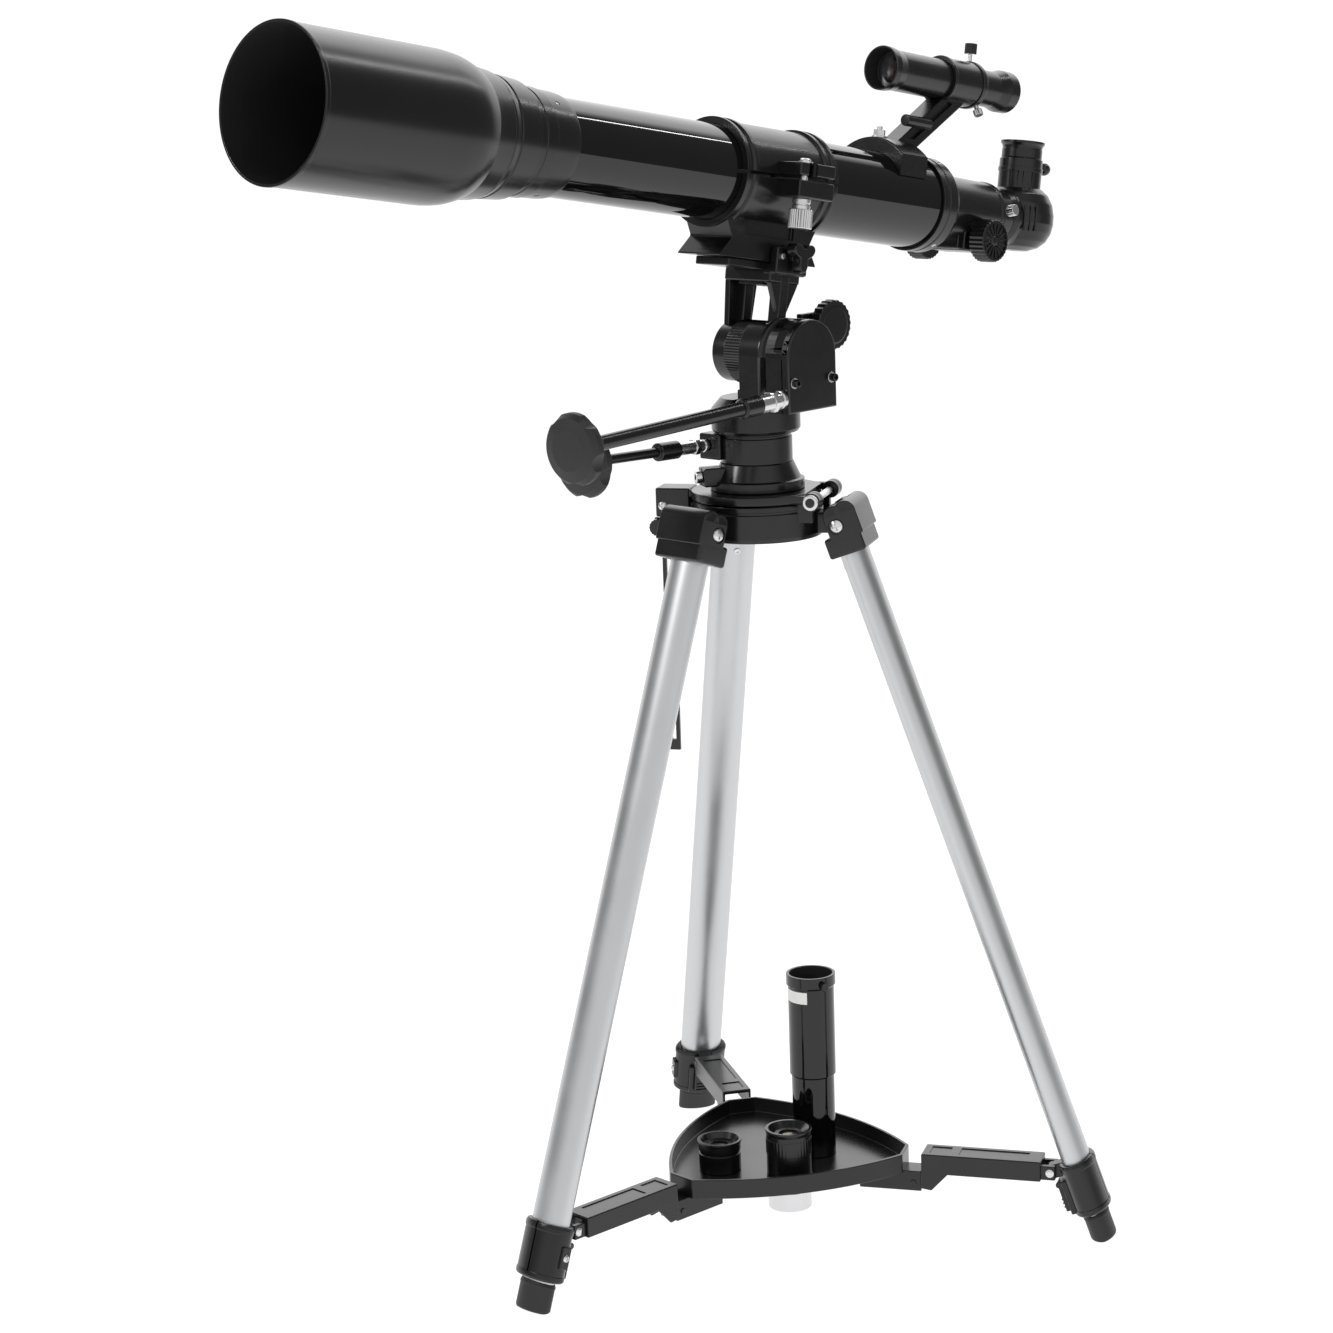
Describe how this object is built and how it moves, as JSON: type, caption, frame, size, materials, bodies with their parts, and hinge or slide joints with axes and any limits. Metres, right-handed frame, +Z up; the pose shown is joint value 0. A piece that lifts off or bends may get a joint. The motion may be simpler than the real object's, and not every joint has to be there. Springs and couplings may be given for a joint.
{
  "type": "telescope on tripod",
  "caption": "Small refractor telescope on a folding tripod, with a tilting slow-motion head, hinged tube cradle, finder, star diagonal and accessory tray.",
  "frame": {"origin": "on the ground, under the middle of the whole object's box", "axes": "+Z up, the tube points along -Y and 9.9 degrees up, +X to the side of the long altitude control"},
  "size_m": [0.4502, 0.7877, 0.8993],
  "materials": {
    "black_plastic": "moulded satin black",
    "black_casting": "satin black paint on cast metal",
    "gloss_black": "high-gloss black paint",
    "anodised_aluminium": "satin anodised, drawn",
    "bright_metal": "polished plating",
    "coated_glass": "coated lens glass"
  },
  "bodies": {
    "hub": {"hub": "black_plastic"},
    "leg_front": {"leg_top_front": "black_plastic", "leg_tube_front": "anodised_aluminium", "leg_clamp_front": "black_plastic"},
    "lower_leg_front": {"inner_leg_front": "anodised_aluminium", "foot_front": "black_plastic"},
    "lever_front": {"leg_lever_front": "black_plastic"},
    "arm_front": {"brace_arm_front": "black_plastic"},
    "leg_right": {"leg_top_right": "black_plastic", "leg_tube_right": "anodised_aluminium", "leg_clamp_right": "black_plastic"},
    "lower_leg_right": {"inner_leg_right": "anodised_aluminium", "foot_right": "black_plastic"},
    "lever_right": {"leg_lever_right": "black_plastic"},
    "arm_right": {"brace_arm_right": "black_plastic"},
    "leg_rear": {"leg_top_rear": "black_plastic", "leg_tube_rear": "anodised_aluminium", "leg_clamp_rear": "black_plastic"},
    "lower_leg_rear": {"inner_leg_rear": "anodised_aluminium", "foot_rear": "black_plastic"},
    "lever_rear": {"leg_lever_rear": "black_plastic"},
    "arm_rear": {"brace_arm_rear": "black_plastic"},
    "tray": {"tray": "black_plastic"},
    "short_eyepiece": {"short_eyepiece": "black_plastic"},
    "long_eyepiece": {"long_eyepiece": "bright_metal"},
    "erecting_tube": {"erecting_tube": "black_plastic"},
    "rod_knob": {"rod_knob": "black_plastic"},
    "wedge": {"tilt_plate": "black_plastic", "hinge_bolt": "bright_metal", "azimuth_base": "black_casting"},
    "latitude_rod": {"latitude_rod": "bright_metal"},
    "azimuth_screw": {"azimuth_screw": "bright_metal"},
    "head": {"worm_ring": "black_casting", "head_base": "black_casting", "gear_housing": "black_casting", "altitude_axle": "black_casting"},
    "azimuth_control": {"azimuth_shaft": "bright_metal", "azimuth_knob": "black_plastic"},
    "altitude_control": {"altitude_shaft": "bright_metal", "altitude_knob": "black_plastic"},
    "lock_knob": {"lock_knob": "black_casting"},
    "tube": {"yoke": "black_casting", "altitude_wheel": "black_casting", "cradle_lower": "black_casting", "main_tube": "gloss_black", "lens_cell": "black_plastic", "objective": "coated_glass", "dew_shield": "black_plastic", "focuser_body": "black_plastic", "finder_bracket": "black_plastic", "finder_scope": "black_plastic"},
    "saddle_knob": {"saddle_knob": "black_casting"},
    "cradle_lid": {"cradle_lid": "black_casting"},
    "cradle_nut": {"cradle_nut": "bright_metal"},
    "draw_tube": {"draw_tube": "black_plastic"},
    "focus_knobs": {"focus_knobs": "black_plastic"},
    "diagonal": {"diagonal": "black_plastic"},
    "eyepiece": {"eyepiece": "black_plastic"},
    "eyepiece_screw": {"eyepiece_screw": "black_plastic"},
    "finder_screw": {"finder_screw": "bright_metal"}
  },
  "joints": [
    {"name": "leg_fold_front", "type": "hinge", "parent": "hub", "child": "leg_front", "pos_m": [-0.00837, -0.01753, 0.529], "axis": [0.9989, -0.0471, 0], "range_deg": [0, 5]},
    {"name": "leg_extend_front", "type": "slide", "parent": "leg_front", "child": "lower_leg_front", "axis": [-0.0155, -0.329, -0.9442], "range_m": [0, 0.38]},
    {"name": "lever_turn_front", "type": "hinge", "parent": "leg_front", "child": "lever_front", "pos_m": [-0.01555, -0.16987, 0.03889], "axis": [0.9989, -0.0471, 0], "range_deg": [0, 80]},
    {"name": "arm_fold_front", "type": "hinge", "parent": "leg_front", "child": "arm_front", "pos_m": [-0.01524, -0.16337, 0.048], "axis": [0.9989, -0.0471, 0], "range_deg": [0, 70.1]},
    {"name": "leg_fold_right", "type": "hinge", "parent": "hub", "child": "leg_right", "pos_m": [0.05058, 0.07429, 0.529], "axis": [-0.4586, 0.8886, 0], "range_deg": [0, 5]},
    {"name": "leg_extend_right", "type": "slide", "parent": "leg_right", "child": "lower_leg_right", "axis": [0.2926, 0.151, -0.9442], "range_m": [0, 0.38]},
    {"name": "lever_turn_right", "type": "hinge", "parent": "leg_right", "child": "lever_right", "pos_m": [0.18611, 0.14424, 0.03889], "axis": [-0.4586, 0.8886, 0], "range_deg": [0, 80]},
    {"name": "arm_fold_right", "type": "hinge", "parent": "leg_right", "child": "arm_right", "pos_m": [0.18032, 0.14126, 0.048], "axis": [-0.4586, 0.8886, 0], "range_deg": [0, 70.1]},
    {"name": "leg_fold_rear", "type": "hinge", "parent": "hub", "child": "leg_rear", "pos_m": [-0.05842, 0.07944, 0.529], "axis": [-0.5402, -0.8415, 0], "range_deg": [0, 5]},
    {"name": "leg_extend_rear", "type": "slide", "parent": "leg_rear", "child": "lower_leg_rear", "axis": [-0.2771, 0.1779, -0.9442], "range_m": [0, 0.38]},
    {"name": "lever_turn_rear", "type": "hinge", "parent": "leg_rear", "child": "lever_rear", "pos_m": [-0.18675, 0.16183, 0.03889], "axis": [-0.5402, -0.8415, 0], "range_deg": [0, 80]},
    {"name": "arm_fold_rear", "type": "hinge", "parent": "leg_rear", "child": "arm_rear", "pos_m": [-0.18128, 0.15831, 0.048], "axis": [-0.5402, -0.8415, 0], "range_deg": [0, 70.1]},
    {"name": "tray_lift", "type": "slide", "parent": "hub", "child": "tray", "axis": [0, 0, 1], "range_m": [0, 0.0801]},
    {"name": "short_eyepiece_lift", "type": "slide", "parent": "tray", "child": "short_eyepiece", "axis": [0, 0, 1], "range_m": [0, 0.06]},
    {"name": "long_eyepiece_lift", "type": "slide", "parent": "tray", "child": "long_eyepiece", "axis": [0, 0, 1], "range_m": [0, 0.07]},
    {"name": "erecting_tube_lift", "type": "slide", "parent": "tray", "child": "erecting_tube", "axis": [0, 0, 1], "range_m": [0, 0.06]},
    {"name": "rod_knob_turn", "type": "hinge", "parent": "hub", "child": "rod_knob", "pos_m": [-0.06938, 0.01238, 0.5245], "axis": [0.4586, -0.8886, 0], "continuous": true},
    {"name": "latitude_tilt", "type": "hinge", "parent": "hub", "child": "wedge", "pos_m": [0.03725, 0.06742, 0.548], "axis": [-0.4586, 0.8886, 0], "range_deg": [0, 50]},
    {"name": "rod_swing", "type": "hinge", "parent": "wedge", "child": "latitude_rod", "pos_m": [-0.06636, 0.01394, 0.54], "axis": [0.4586, -0.8886, 0], "range_deg": [0, 31.8]},
    {"name": "azimuth_screw_turn", "type": "hinge", "parent": "wedge", "child": "azimuth_screw", "pos_m": [-0.0274, 0.0073, 0.5635], "axis": [-0.5, -0.866, 0], "continuous": true},
    {"name": "azimuth_turn", "type": "hinge", "parent": "wedge", "child": "head", "pos_m": [-0.0054, 0.0454, 0.59], "axis": [0, 0, 1], "continuous": true},
    {"name": "azimuth_control_turn", "type": "hinge", "parent": "head", "child": "azimuth_control", "pos_m": [-0.0304, 0.0184, 0.5847], "axis": [0, -0.9996, 0.0279], "continuous": true},
    {"name": "altitude_control_turn", "type": "hinge", "parent": "head", "child": "altitude_control", "pos_m": [0.0406, 0.0227, 0.622], "axis": [0, -0.9991, -0.0419], "continuous": true},
    {"name": "lock_knob_turn", "type": "hinge", "parent": "head", "child": "lock_knob", "pos_m": [0.0246, 0.0914, 0.667], "axis": [1, 0, 0], "continuous": true},
    {"name": "altitude_turn", "type": "hinge", "parent": "head", "child": "tube", "pos_m": [-0.0054, 0.0487, 0.65], "axis": [-1, 0, 0], "range_deg": [-25, 36]},
    {"name": "saddle_knob_turn", "type": "hinge", "parent": "tube", "child": "saddle_knob", "pos_m": [0.0246, 0.06021, 0.71885], "axis": [1, 0, 0], "continuous": true},
    {"name": "cradle_lid_open", "type": "hinge", "parent": "tube", "child": "cradle_lid", "pos_m": [-0.0478, 0.04851, 0.77398], "axis": [0, -0.9851, 0.1719], "range_deg": [0, 100]},
    {"name": "cradle_nut_turn", "type": "hinge", "parent": "tube", "child": "cradle_nut", "pos_m": [0.0431, 0.04838, 0.77319], "axis": [0, 0.1719, 0.9851], "continuous": true},
    {"name": "focus_slide", "type": "slide", "parent": "tube", "child": "draw_tube", "axis": [0, 0.9851, -0.1719], "range_m": [0, 0.06]},
    {"name": "focus_knob_turn", "type": "hinge", "parent": "tube", "child": "focus_knobs", "pos_m": [-0.0054, 0.27715, 0.71134], "axis": [1, 0, 0], "range_deg": [0, 600]},
    {"name": "diagonal_turn", "type": "hinge", "parent": "draw_tube", "child": "diagonal", "pos_m": [-0.0054, 0.34095, 0.72213], "axis": [0, 0.9851, -0.1719], "range_deg": [-90, 90]},
    {"name": "eyepiece_slide", "type": "slide", "parent": "diagonal", "child": "eyepiece", "axis": [0, 0.1719, 0.9851], "range_m": [0, 0.03]},
    {"name": "eyepiece_screw_turn", "type": "hinge", "parent": "diagonal", "child": "eyepiece_screw", "pos_m": [-0.0054, 0.38758, 0.75662], "axis": [0, 0.9851, -0.1719], "continuous": true},
    {"name": "finder_screw_turn", "type": "hinge", "parent": "tube", "child": "finder_screw", "pos_m": [-0.0054, 0.29854, 0.85134], "axis": [0, 0.1719, 0.9851], "continuous": true}
  ],
  "couplings": [
    {"joint": "arm_fold_front", "follows": "leg_fold_front", "ratio": 14},
    {"joint": "leg_fold_right", "follows": "leg_fold_front", "ratio": 1},
    {"joint": "arm_fold_right", "follows": "leg_fold_front", "ratio": 14},
    {"joint": "leg_fold_rear", "follows": "leg_fold_front", "ratio": 1},
    {"joint": "arm_fold_rear", "follows": "leg_fold_front", "ratio": 14},
    {"joint": "tray_lift", "follows": "leg_fold_front", "m_per_rad": 0.9167},
    {"joint": "rod_swing", "follows": "latitude_tilt", "ratio": 0.634},
    {"joint": "azimuth_control_turn", "follows": "azimuth_turn", "ratio": 40},
    {"joint": "altitude_control_turn", "follows": "altitude_turn", "ratio": 40},
    {"joint": "focus_knob_turn", "follows": "focus_slide", "rad_per_m": 166.7}
  ]
}
